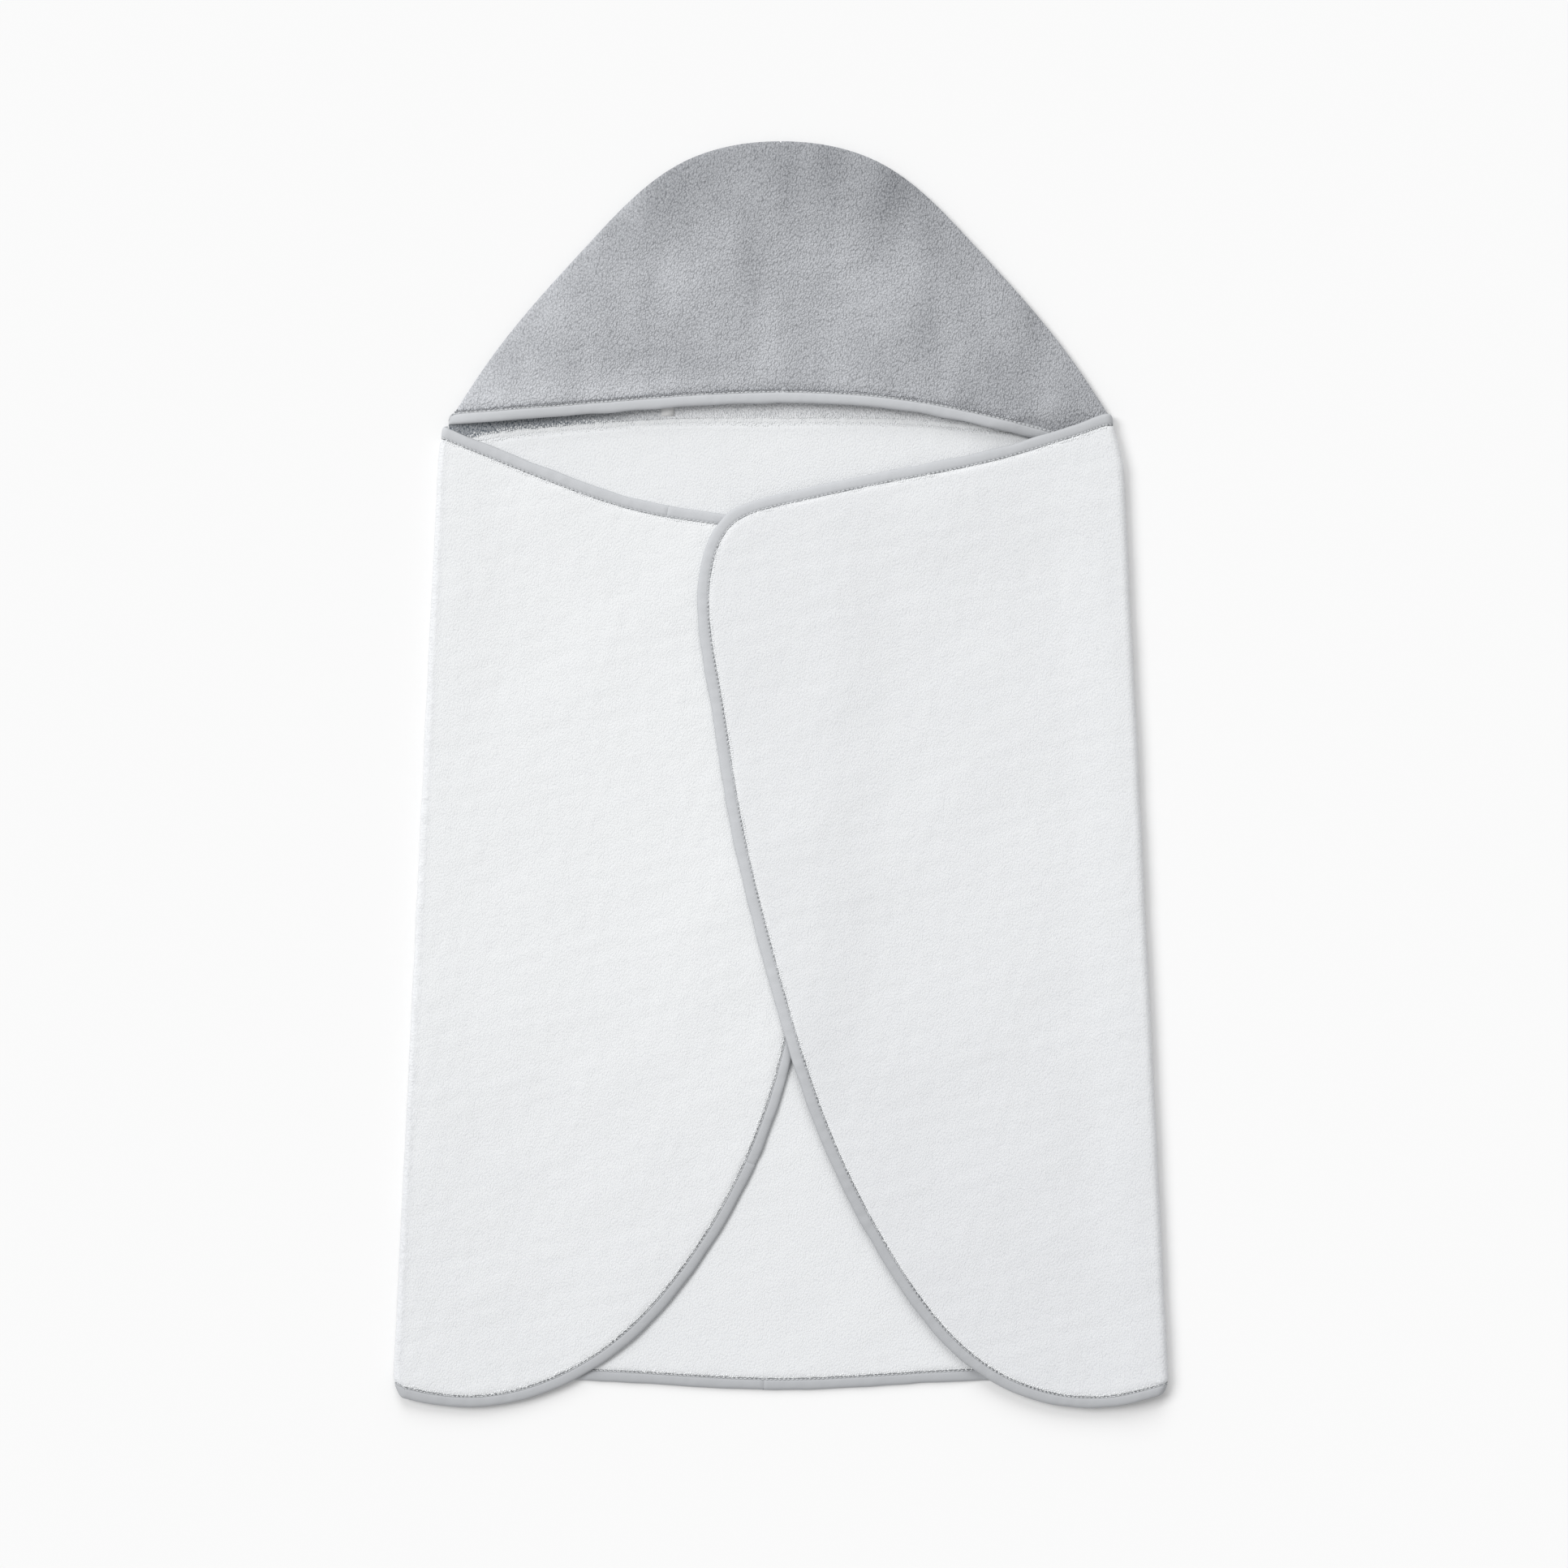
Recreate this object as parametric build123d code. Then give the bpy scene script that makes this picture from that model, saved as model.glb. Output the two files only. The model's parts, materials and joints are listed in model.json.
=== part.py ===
"""Hooded baby towel, laid flat with its two fronts folded in over the back, right front over left.

The body is one cut of white terry: the back panel in the middle, and a front on each side that turns in
at a slanted fold. A grey terry hood is sewn to it along the neck seam. The hood is a pocket of two layers,
joined round the dome and open at the mouth, towards the body. Grey tape binds the body and the mouth.

The towel lies on the XY plane. +Y runs from the hem to the crown of the hood, +X to the right-hand side
as seen from above, +Z up. The origin is on the ground, under the middle of the towel. Millimetres.
"""

import os

from build123d import *

# The cloth and its tape
CLOTH = 3.0  # thickness of the terry with its loops
TAPE_WIDTH = 8.4  # finished width of the binding
TAPE_WALL = 0.6  # thickness of the tape on each side of the terry edge
THREAD_WIDTH = 0.8
THREAD_RISE = 0.4  # how far the topstitching stands out of the tape
STITCH_INSET = TAPE_WIDTH - 1.2  # from the edge of the towel to the outside of the topstitching

# The layers, each by the height of its underside
LEFT_FRONT_Z = 4.5
RIGHT_FRONT_Z = 8.0
HOOD_FRONT_Z = 9.0

# The outline
CROWN_Y = 420.4  # the top of the hood
NECK_Y = 235.0  # the neck seam, at the middle of the back
HEM_Y = -409.4  # the hem, at the middle of the back
SKIRT_Y = -420.4  # the lowest point of the fronts
FOLD_X_AT_NECK = 226.5  # half the width of the towel at the shoulders
FOLD_X_AT_HEM = 257.5  # and at the hem
SHOULDER_Y = 230.0  # where FOLD_X_AT_NECK is measured
FOLD_END_Y = -405.0  # where FOLD_X_AT_HEM is measured
HOOD_CORNER_X = 220.5  # half the width of the hood at its corners
SPARE = 40.0  # how far an outline runs past its fold before it is trimmed there
CLEAR = 0.8  # sideways gap between a front and the pieces that it must not rub against

# Where the lengths of tape meet
HEM_JOIN_X = -13.0
LEFT_NECK_JOIN_X = -73.5
LEFT_CURVE_JOIN_Y = -261.0

# The care label, sewn into the neck seam
LABEL_X = -79.5
LABEL_WIDTH = 8.5
LABEL_LENGTH = 32.0
LABEL_THICKNESS = 0.4

NECK_SEAM_WIDTH = 3.0
NECK_SEAM_TOP = 3.5
HOOD_SEAM_WIDTH = 4.0

LEFT, RIGHT = -1, 1


def fold_x(y):
    """Half the width of the towel at y, out to the outside of the fold."""
    slope = (FOLD_X_AT_HEM - FOLD_X_AT_NECK) / (FOLD_END_Y - SHOULDER_Y)
    return FOLD_X_AT_NECK + (y - SHOULDER_Y) * slope


def fold_radius(front_z):
    """Outside radius of the half-round fold that lifts a front to front_z."""
    return (front_z + CLOTH) / 2


def fold_axis(side, front_z, y):
    """The point at y on the centreline of a fold, which is also its hinge axis."""
    radius = fold_radius(front_z)
    return Vector(side * (fold_x(y) - radius), y, radius)


def inside_folds(left_z, right_z):
    """The plan of everything between the centrelines of the two folds."""
    top, bottom = CROWN_Y + SPARE, SKIRT_Y - SPARE
    corners = [fold_axis(LEFT, left_z, y) for y in (bottom, top)]
    corners += [fold_axis(RIGHT, right_z, y) for y in (top, bottom)]
    return make_face(Polyline(*[(c.X, c.Y) for c in corners], close=True))


def closed_outline(curve, *corners):
    """A face bounded by a curve, then by straight lines through the corners."""
    return make_face([curve, Polyline(curve @ 1, *corners, curve @ 0)])


def shifted(curve, amount, steps=40):
    """The curve moved sideways by amount, to the left of the way it runs."""
    points = []
    for step in range(steps + 1):
        tangent = curve % (step / steps)
        points.append((curve @ (step / steps)) + Vector(-tangent.Y, tangent.X) * amount)
    return Spline(*points)


def right_front_edge():
    """The bound edge of the right front, from the shoulder round the curved edge to the hem."""
    return Spline(
        (FOLD_X_AT_NECK + SPARE, 253),
        (200, 234),
        (150, 218),
        (75, 202),
        (0, 186),
        (-36, 172),
        (-55, 125),
        (-48, 56),
        (-35, -25),
        (-9, -133),
        (26, -241),
        (67, -322),
        (140, -403),
        (214, SKIRT_Y),
        (FOLD_X_AT_HEM, -411),
        (FOLD_X_AT_HEM + SPARE, -399),
    )


def left_front_edge():
    """The bound edge of the left front. Its corner and the top of its curve lie under the right front."""
    return Spline(
        (-FOLD_X_AT_NECK - SPARE, 247),
        (-200, 221),
        (-152, 202),
        (-88, 181),
        (-20, 170),
        (26, 150),
        (36, 105),
        (29, 0),
        (18, -133),
        (-9, -241),
        (-52, -322),
        (-118, -391),
        (-207, SKIRT_Y),
        (-FOLD_X_AT_HEM, -413),
        (-FOLD_X_AT_HEM - SPARE, -403),
    )


def neck_curve(rise=0.0):
    """The neck seam, from the left shoulder to the right, shifted up by rise."""
    half = [(222, -15), (195, -8), (155, -2), (80, 0), (0, 0)]
    left = [(-x, NECK_Y + y + rise) for x, y in half]
    right = [(x, NECK_Y + y + rise) for x, y in reversed(half[:-1])]
    ends = FOLD_X_AT_NECK + SPARE, NECK_Y - 27 + rise
    return Spline((-ends[0], ends[1]), *left, *right, ends)


def back_face():
    """The back panel with its hem binding, up to the neck seam."""
    hem = Spline(
        (FOLD_X_AT_HEM + SPARE, -413),
        (FOLD_X_AT_HEM, -409),
        (140, -403),
        (0, HEM_Y),
        (-140, -403),
        (-FOLD_X_AT_HEM, -409),
        (-FOLD_X_AT_HEM - SPARE, -413),
    )
    neck = neck_curve(-NECK_SEAM_WIDTH / 2)
    sides = [Line(hem @ 1, neck @ 0), Line(neck @ 1, hem @ 0)]
    return make_face([hem, sides[0], neck, sides[1]])


def dome_curve():
    """The outside of the hood, from its right corner over the crown to its left corner."""
    half = [(HOOD_CORNER_X, 234), (192, 277), (127, 353), (64, 407), (0, CROWN_Y)]
    left = [(-x, y) for x, y in reversed(half[:-1])]
    return Spline(*half, *left)


def hood_face(bottom, dome_inset=0.0):
    """One layer of the hood, between the dome and the curve at its bottom."""
    dome = shifted(dome_curve(), dome_inset)
    corner_left, corner_right = dome @ 1, dome @ 0
    low = (bottom @ 0).Y - SPARE
    above = make_face([dome, Polyline(corner_left, (corner_left.X, low), (corner_right.X, low), corner_right)])
    top = CROWN_Y + SPARE
    keep = closed_outline(bottom, ((bottom @ 1).X, top), ((bottom @ 0).X, top))
    return above & keep


def mouth_curve():
    """The edge of the mouth, from the left corner of the hood to the right."""
    wide = HOOD_CORNER_X + SPARE
    return Spline((-wide, 230), (-HOOD_CORNER_X, 232), (-110, 240), (0, 246), (110, 236), (170, 222), (wide, 200))


def slab(face, bottom, thickness=CLOTH):
    """A flat piece of the given plan, standing from bottom."""
    return Pos(0, 0, bottom) * extrude(face, thickness)


def front_plan(side):
    """The rule that gives the plan of a front, with an amount taken off all along its bound edge."""
    edge = right_front_edge() if side == RIGHT else left_front_edge()
    return lambda amount: closed_outline(shifted(edge, side * amount))


def plan_above(face):
    """The rule that takes a strip of a given width off the lower edge of a plan."""
    return lambda amount: face & (Pos(0, amount) * face)


def bind(inset, bottom):
    """The terry of a bound piece, the tape folded round its edge and the topstitching, as three shapes.
    inset gives the plan of the piece with an amount taken off its bound edge. The terry thins to a tongue
    between the two sides of the tape."""
    tongue = slab(inset(TAPE_WALL), bottom + TAPE_WALL, CLOTH - 2 * TAPE_WALL)
    terry = slab(inset(TAPE_WIDTH), bottom) + tongue
    tape = slab(inset(0), bottom) - terry
    thread = slab(inset(STITCH_INSET) - inset(STITCH_INSET + THREAD_WIDTH), bottom + CLOTH, THREAD_RISE)
    return terry, tape, thread


def tall(face):
    """The space over and under a plan, to cut or keep with."""
    return slab(face, -SPARE, 2 * SPARE)


def rectangle(low_x, low_y, high_x, high_y):
    """A plan rectangle between two corners."""
    return Pos((low_x + high_x) / 2, (low_y + high_y) / 2) * Rectangle(high_x - low_x, high_y - low_y)


def fold_strip(side, front_z, low_y, high_y):
    """A stretch of a fold: a half-round strip of cloth from the back panel up to a front."""
    start, end = fold_axis(side, front_z, low_y), fold_axis(side, front_z, high_y)
    section_plane = Plane(origin=start, x_dir=(0, 0, 1), z_dir=end - start)
    outer = fold_radius(front_z)
    ring = Circle(outer) - Circle(outer - CLOTH)
    outward = 1 if section_plane.y_dir.X * side > 0 else -1
    half = ring & (Pos(0, outward * outer) * Rectangle(4 * outer, 2 * outer))
    return extrude(section_plane * half, (end - start).length)


def back_parts():
    """The back panel, its hem tape in two lengths that meet left of the middle, and the hem stitching."""
    keep = tall(inside_folds(LEFT_FRONT_Z, RIGHT_FRONT_Z))
    terry, tape, thread = bind(plan_above(back_face()), 0)
    left_of_join = tall(rectangle(-FOLD_X_AT_HEM, SKIRT_Y, HEM_JOIN_X, 0))
    return {
        "back_panel": terry & keep,
        "hem_binding_left": tape & keep & left_of_join,
        "hem_binding_right": (tape & keep) - left_of_join,
        "hem_topstitch": thread & keep,
    }


def neck_parts():
    """The overlocked seam between the back panel and the hood, and the blank care label caught in it."""
    half = NECK_SEAM_WIDTH / 2
    low, high = neck_curve(-half), neck_curve(half)
    face = make_face([low, Line(low @ 1, high @ 1), high, Line(high @ 0, low @ 0)])
    hood_width = rectangle(-HOOD_CORNER_X, 0, HOOD_CORNER_X, CROWN_Y)
    label_low = NECK_Y + 2 * half
    label_plan = rectangle(LABEL_X, label_low, LABEL_X + LABEL_WIDTH, label_low + LABEL_LENGTH)
    return {
        "neck_seam": slab(face & hood_width, 0, NECK_SEAM_TOP),
        "care_label": slab(label_plan, CLOTH, LABEL_THICKNESS),
    }


def hood_parts():
    """The two layers of the hood, the seam that joins them round the dome, and the bound mouth.
    The front layer and its binding stop where the right front lies over the corner of the hood."""
    mouth = mouth_curve()
    seam = hood_face(mouth) - hood_face(mouth, HOOD_SEAM_WIDTH)
    terry, tape, thread = bind(plan_above(hood_face(mouth)), HOOD_FRONT_Z)
    clear_of_front = tall(front_plan(RIGHT)(-CLEAR))
    return {
        "hood_back_panel": slab(hood_face(neck_curve(NECK_SEAM_WIDTH / 2)), 0),
        "hood_dome_seam": slab(seam, CLOTH, HOOD_FRONT_Z - CLOTH) - clear_of_front,
        "hood_front_panel": terry - clear_of_front,
        "hood_mouth_binding": tape - clear_of_front,
        "hood_mouth_topstitch": thread - clear_of_front,
    }


def right_front_parts():
    """The right front, which lies on top, with one length of tape all the way round its edge."""
    keep = tall(inside_folds(LEFT_FRONT_Z, RIGHT_FRONT_Z))
    terry, tape, thread = bind(front_plan(RIGHT), RIGHT_FRONT_Z)
    return {
        "right_front_panel": terry & keep,
        "right_front_binding": tape & keep,
        "right_front_topstitch": thread & keep,
    }


def left_front_parts():
    """The left front, in the part that shows and the part that is tucked under the right front,
    with its tape in three lengths: neckline, corner and curved edge."""
    keep = tall(inside_folds(LEFT_FRONT_Z, RIGHT_FRONT_Z))
    terry, tape, thread = bind(front_plan(LEFT), LEFT_FRONT_Z)
    terry, tape = terry & keep, tape & keep
    tucked = tall(front_plan(RIGHT)(-CLEAR))
    neck_side = tall(rectangle(-FOLD_X_AT_HEM, 0, LEFT_NECK_JOIN_X, CROWN_Y))
    hem_side = tall(rectangle(-FOLD_X_AT_HEM, SKIRT_Y - SPARE, FOLD_X_AT_HEM, LEFT_CURVE_JOIN_Y))
    return {
        "left_front_panel": terry - tucked,
        "left_front_tucked_panel": terry & tucked,
        "left_neck_binding": tape & neck_side,
        "left_corner_binding": tape - neck_side - hem_side,
        "left_curve_binding": tape & hem_side,
        "left_front_topstitch": thread & keep,
    }


def fold_parts():
    """The two folds of the terry, and the tape that goes round each at the shoulder and at the hem."""
    parts = {}
    ends = {"left": (LEFT, LEFT_FRONT_Z, -411.5, 231.0), "right": (RIGHT, RIGHT_FRONT_Z, -411.0, 237.0)}
    for name, (side, front_z, hem_end, neck_end) in ends.items():
        terry_low, terry_high = hem_end + TAPE_WIDTH, neck_end - TAPE_WIDTH
        parts[f"{name}_fold"] = fold_strip(side, front_z, terry_low, terry_high)
        parts[f"{name}_fold_hem_binding"] = fold_strip(side, front_z, hem_end, terry_low)
        parts[f"{name}_shoulder_binding"] = fold_strip(side, front_z, terry_high, neck_end)
    return parts


def main():
    parts = {
        **back_parts(),
        **neck_parts(),
        **hood_parts(),
        **right_front_parts(),
        **left_front_parts(),
        **fold_parts(),
    }
    os.makedirs("parts", exist_ok=True)
    for name, shape in parts.items():
        shape.label = name
        export_step(shape, f"parts/{name}.step")
    for name, side, front_z in (("left", LEFT, LEFT_FRONT_Z), ("right", RIGHT, RIGHT_FRONT_Z)):
        low, high = fold_axis(side, front_z, FOLD_END_Y), fold_axis(side, front_z, SHOULDER_Y)
        print(name, "hinge through", tuple(high), "along", tuple((high - low).normalized()))


main()
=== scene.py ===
"""The looks of the hooded baby towel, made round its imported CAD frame.

The towel lies flat with its two fronts folded in over the back, right over left. Each front is one sheet of
terry that wraps round its half-round fold, so it is drawn on a flat pattern and then laid in place: the
pattern is the plan of the front, and it runs on past the fold as if the cloth there was unrolled. The tape,
the stitches and the tufts of pile along an edge are laid through the same rule. Lengths here are in
millimetres until a mesh is made.
"""

import json
import math

import bpy
import numpy as np
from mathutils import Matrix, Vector
from mathutils.geometry import delaunay_2d_cdt


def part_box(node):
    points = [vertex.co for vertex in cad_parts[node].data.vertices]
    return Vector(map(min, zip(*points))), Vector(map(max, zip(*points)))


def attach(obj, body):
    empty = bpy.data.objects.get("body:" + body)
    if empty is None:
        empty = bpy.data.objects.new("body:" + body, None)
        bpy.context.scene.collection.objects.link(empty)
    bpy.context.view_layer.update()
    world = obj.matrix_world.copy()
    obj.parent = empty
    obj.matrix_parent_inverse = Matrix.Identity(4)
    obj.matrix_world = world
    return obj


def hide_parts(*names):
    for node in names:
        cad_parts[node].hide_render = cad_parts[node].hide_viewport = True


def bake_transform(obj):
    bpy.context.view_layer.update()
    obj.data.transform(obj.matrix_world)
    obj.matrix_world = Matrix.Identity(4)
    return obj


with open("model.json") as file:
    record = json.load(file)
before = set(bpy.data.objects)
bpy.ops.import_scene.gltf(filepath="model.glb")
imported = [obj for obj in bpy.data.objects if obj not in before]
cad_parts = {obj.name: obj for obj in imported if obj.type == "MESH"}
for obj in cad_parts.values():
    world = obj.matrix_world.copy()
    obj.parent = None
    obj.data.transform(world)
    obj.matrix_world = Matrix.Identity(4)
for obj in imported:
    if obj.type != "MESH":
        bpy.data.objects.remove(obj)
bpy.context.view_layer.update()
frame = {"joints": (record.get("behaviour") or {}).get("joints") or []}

MM = 0.001
LEFT, RIGHT = -1, 1

# The cloth and its tape
CLOTH = 3.0
TAPE_WIDTH = 8.4
TERRY_INSET = 3.4  # the terry stops this far inside the outer edge of its tape
PRESSED_HALF = 0.6  # half the thickness of the terry between the two sides of the tape
BESIDE_TAPE = (4.2, 5.6, 7.2)  # rows of points where terry comes out of its tape, from the terry's own edge
BESIDE_SEAM = 0.8  # a row of points inside a seam, where the terry is turned in
UNDERSIDE_PILE = 0.3  # how far the pile stands out below, as a share of how far it does on top
STITCH_PITCH = 2.9
STITCH_LINE = 7.2  # from the outer edge of the tape
STITCH_LENGTH = 1.9

# The outline in plan. It keeps to part.py's, but for a few millimetres along the neck and at the right end
# of the right front's edge.
CROWN_Y = 420.4
NECK_Y = 235.0
HEM_Y = -409.4
SKIRT_Y = -420.4
FOLD_X_AT_NECK = 226.5
FOLD_X_AT_HEM = 257.5
HOOD_CORNER_X = 220.5
SPARE = 40.0
HEM_CORNER = 3.0  # how far a front is drawn in at the bottom of its fold
LEFT_SHOULDER_CORNER = 1.5  # and at the top of the left fold
RIGHT_SHOULDER_CORNER = 6.0  # and at the top of the right fold
LEFT_SHOULDER_Y = 231.5  # where the edge of the left front ends under its fold
RIGHT_SHOULDER_Y = 240.0
FOLD_HEM_Y = -409.0
NECK_SEAM_WIDTH = 3.0
HEM_JOIN_X = -13.0
LEFT_NECK_JOIN_X = -73.5
LEFT_CURVE_JOIN_Y = -261.0
OVERLAP_POINTS = 1  # how many points, 1 mm apart, one length of tape runs on over the next
PAST_ANY_END = 99.0  # added to a distance so that the end there no longer counts

RIGHT_FRONT_EDGE = [
    (FOLD_X_AT_NECK + SPARE, 250),
    (200, 233.5),
    (150, 218),
    (75, 202),
    (0, 186),
    (-36, 172),
    (-55, 125),
    (-48, 56),
    (-35, -25),
    (-9, -133),
    (26, -241),
    (67, -322),
    (140, -403),
    (214, SKIRT_Y),
    (FOLD_X_AT_HEM, -411),
    (FOLD_X_AT_HEM + SPARE, -399),
]
LEFT_FRONT_EDGE = [
    (-FOLD_X_AT_NECK - SPARE, 247),
    (-200, 221),
    (-152, 202),
    (-88, 181),
    (-20, 170),
    (26, 150),
    (36, 105),
    (29, 0),
    (18, -133),
    (-9, -241),
    (-52, -322),
    (-118, -391),
    (-207, SKIRT_Y),
    (-FOLD_X_AT_HEM, -413),
    (-FOLD_X_AT_HEM - SPARE, -403),
]
HEM = [
    (-FOLD_X_AT_HEM - SPARE, -413),
    (-FOLD_X_AT_HEM, -409),
    (-140, -403),
    (0, HEM_Y),
    (140, -403),
    (FOLD_X_AT_HEM, -409),
    (FOLD_X_AT_HEM + SPARE, -413),
]
NECK_HALF = [(FOLD_X_AT_NECK + SPARE, -30), (222, -17), (195, -11), (155, -6), (117, -3), (80, -0.6), (0, 0)]
DOME_HALF = [(HOOD_CORNER_X, 234), (192, 277), (127, 353), (64, 407), (0, CROWN_Y)]
MOUTH = [
    (-HOOD_CORNER_X - SPARE, 230),
    (-HOOD_CORNER_X, 232),
    (-110, 240),
    (0, 246),
    (110, 236),
    (170, 222),
    (HOOD_CORNER_X + SPARE, 200),
]


# ---- Curves and sums on points ----


def smoothstep(value, low, high):
    t = np.clip((value - low) / (high - low), 0, 1)
    return t * t * (3 - 2 * t)


def lengths(path):
    """How far along the path each of its points is."""
    steps = np.linalg.norm(np.diff(path, axis=0), axis=1)
    return np.concatenate([[0.0], np.cumsum(steps)])


def evenly(path, spacing):
    """The same path with its points a spacing apart."""
    along = lengths(path)
    count = max(2, int(round(along[-1] / spacing)) + 1)
    stops = np.linspace(0, along[-1], count)
    return np.column_stack([np.interp(stops, along, path[:, axis]) for axis in (0, 1)])


def curve_through(points, spacing=1.0):
    """Even points along the smooth curve through the given ones: a natural cubic spline."""
    points = np.array(points, float)
    chords = np.linalg.norm(np.diff(points, axis=0), axis=1)
    last = len(points) - 1
    system = np.eye(last + 1)
    slopes = np.zeros_like(points)
    for i in range(1, last):
        system[i, i - 1] = chords[i - 1] / 6
        system[i, i] = (chords[i - 1] + chords[i]) / 3
        system[i, i + 1] = chords[i] / 6
        slopes[i] = (points[i + 1] - points[i]) / chords[i] - (points[i] - points[i - 1]) / chords[i - 1]
    bends = np.linalg.solve(system, slopes)
    path = []
    for i in range(last):
        b = np.linspace(0, 1, max(2, int(chords[i])), endpoint=i == last - 1)[:, None]
        a = 1 - b
        bow = ((a**3 - a) * bends[i] + (b**3 - b) * bends[i + 1]) * chords[i] ** 2 / 6
        path.append(a * points[i] + b * points[i + 1] + bow)
    return evenly(np.vstack(path), spacing)


def left_normals(path):
    """Unit vectors to the left of the way the path runs."""
    tangents = np.gradient(path, axis=0)
    tangents /= np.linalg.norm(tangents, axis=1)[:, None]
    return np.column_stack([-tangents[:, 1], tangents[:, 0]])


def distance(points, path):
    """How far each point is from the path."""
    nearest = np.full(len(points), 1e12)
    for start, end in zip(path[:-1], path[1:]):
        way = end - start
        share = np.clip((points - start) @ way / (way @ way), 0, 1)
        gap = points - start - share[:, None] * way
        nearest = np.minimum(nearest, (gap * gap).sum(axis=1))
    return np.sqrt(nearest)


def inside(points, outline):
    """Which points lie inside the closed outline."""
    found = np.zeros(len(points), bool)
    x, y = points[:, 0], points[:, 1]
    for (ax, ay), (bx, by) in zip(outline, np.roll(outline, -1, axis=0)):
        if ay == by:
            continue
        found ^= ((ay > y) != (by > y)) & (x < (bx - ax) * (y - ay) / (by - ay) + ax)
    return found


def ripples(points, size, seed, waves=14):
    """A smooth uneven field over the points, about -1 to 1, with bumps about a size across."""
    rng = np.random.default_rng(seed)
    field = np.zeros(len(points))
    for _ in range(waves):
        turn = rng.uniform(0, 2 * math.pi)
        pace = 2 * math.pi / (size * rng.uniform(1.4, 3.0))
        wave = points @ (pace * np.array([math.cos(turn), math.sin(turn)]))
        field += np.sin(wave + rng.uniform(0, 2 * math.pi))
    return field / math.sqrt(waves)


# ---- How each sheet lies ----


class Front:
    """How a front lies: over the back, and round the half-round fold at its side. sink gives how far it
    lies below the top of its fold, and corner how far it is drawn in at the shoulder."""

    def __init__(self, joint_name, side, sink, corner):
        joint = next(j for j in frame["joints"] if j["name"] == joint_name)
        x, y, z = (value / MM for value in joint["pos_m"])
        along = np.array(joint["axis"][:2])
        self.side = side
        self.on_axis = np.array([x, y])
        self.along = along * np.sign(along[1])
        self.outward = side * np.array([self.along[1], -self.along[0]])
        self.axis_z = z
        self.radius = z - CLOTH / 2
        self.wrap = math.pi * self.radius
        self.sink = sink
        self.corner = corner

    def past_fold(self, flat):
        """How far each point of the pattern is past the line where the fold starts."""
        return (flat - self.on_axis) @ self.outward

    def place(self, flat, lift):
        past = self.past_fold(flat)
        angle = np.clip(past, 0, self.wrap) / self.radius
        reach = np.where(past > 0, (self.radius + lift) * np.sin(angle), past)
        at_shoulder = self.corner * smoothstep(flat[:, 1], 200, 240)
        at_hem = HEM_CORNER * smoothstep(-flat[:, 1], 402, 412)
        drawn_in = (at_shoulder + at_hem) * smoothstep(past, -25, 0)
        plan = flat + self.outward * (reach - past - drawn_in)[:, None]
        down = self.sink(flat) * smoothstep(-past, 6, 48)
        return np.column_stack([plan, self.axis_z + (self.radius + lift) * np.cos(angle) - down])

    def fold_lines(self):
        """Rows across the fold, close enough together to keep it round."""
        top, bottom = self.along * 80, self.along * -760
        steps = max(6, int(self.wrap / 1.1))
        starts = [self.on_axis + self.outward * self.wrap * i / steps for i in range(-1, steps)]
        return [(start + bottom, start + top) for start in starts]

    def bound_edge(self, points, neck_y, hem_y):
        """The edge of the pattern, with the front on its left, out to where the back panel starts under
        each fold: at neck_y and at hem_y."""
        edge = curve_through(points)
        edge = edge[self.past_fold(edge) < 0]
        ends = []
        for corner, y in ((edge[0], neck_y), (edge[-1], hem_y)):
            out = corner + self.outward * (self.wrap - self.past_fold(corner[None])[0])
            ends.append(out + self.along * (y - out[1]))
        edge = np.vstack([ends[0], edge, ends[1]])
        if self.side == LEFT:
            edge = edge[::-1]
        return evenly(edge, 1.0)


class Level:
    """How a sheet lies that stays over its own plan, with its middle at a height of its own."""

    def __init__(self, middle):
        self.middle = middle

    def place(self, flat, lift):
        return np.column_stack([flat, self.middle(flat) + lift])


# ---- Meshes ----


class Shape:
    """Points, faces, and for each point its place on the flat pattern and how dark it is. An edge between
    two of the sharp points is not smoothed over."""

    def __init__(self, points, faces, flat, shade=None, sharp=()):
        self.points = points
        self.faces = faces
        self.flat = flat
        self.shade = np.zeros(len(points)) if shade is None else shade
        self.sharp = sharp


def joined(shapes):
    """Several shapes as one, with the sharp points of the first."""
    faces, start = [], 0
    for shape in shapes:
        faces += [[start + corner for corner in face] for face in shape.faces]
        start += len(shape.points)
    return Shape(
        np.vstack([shape.points for shape in shapes]),
        faces,
        np.vstack([shape.flat for shape in shapes]),
        np.concatenate([shape.shade for shape in shapes]),
        shapes[0].sharp,
    )


def add_piece(name, shape, materials, slot, nodes, look=None):
    """Makes a Blender object of a shape, with its flat pattern as the UV map. It hides the CAD nodes that it
    stands in for, and it has the slot's material or that of another look."""
    mesh = bpy.data.meshes.new(name)
    mesh.from_pydata((shape.points * MM).tolist(), [], shape.faces)
    corners = np.zeros(len(mesh.loops), int)
    mesh.loops.foreach_get("vertex_index", corners)
    mesh.uv_layers.new(name="flat").data.foreach_set("uv", (shape.flat[corners] * MM).ravel())
    mesh.attributes.new("shade", "FLOAT", "POINT").data.foreach_set("value", shape.shade)
    mesh.polygons.foreach_set("use_smooth", [True] * len(mesh.polygons))
    if len(shape.sharp):
        rim = set(shape.sharp)
        for edge in mesh.edges:
            edge.use_edge_sharp = edge.vertices[0] in rim and edge.vertices[1] in rim
    mesh.materials.append(materials[look or slot])
    piece = bpy.data.objects.new(name, mesh)
    bpy.context.scene.collection.objects.link(piece)
    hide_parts(*nodes)
    return piece


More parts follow.
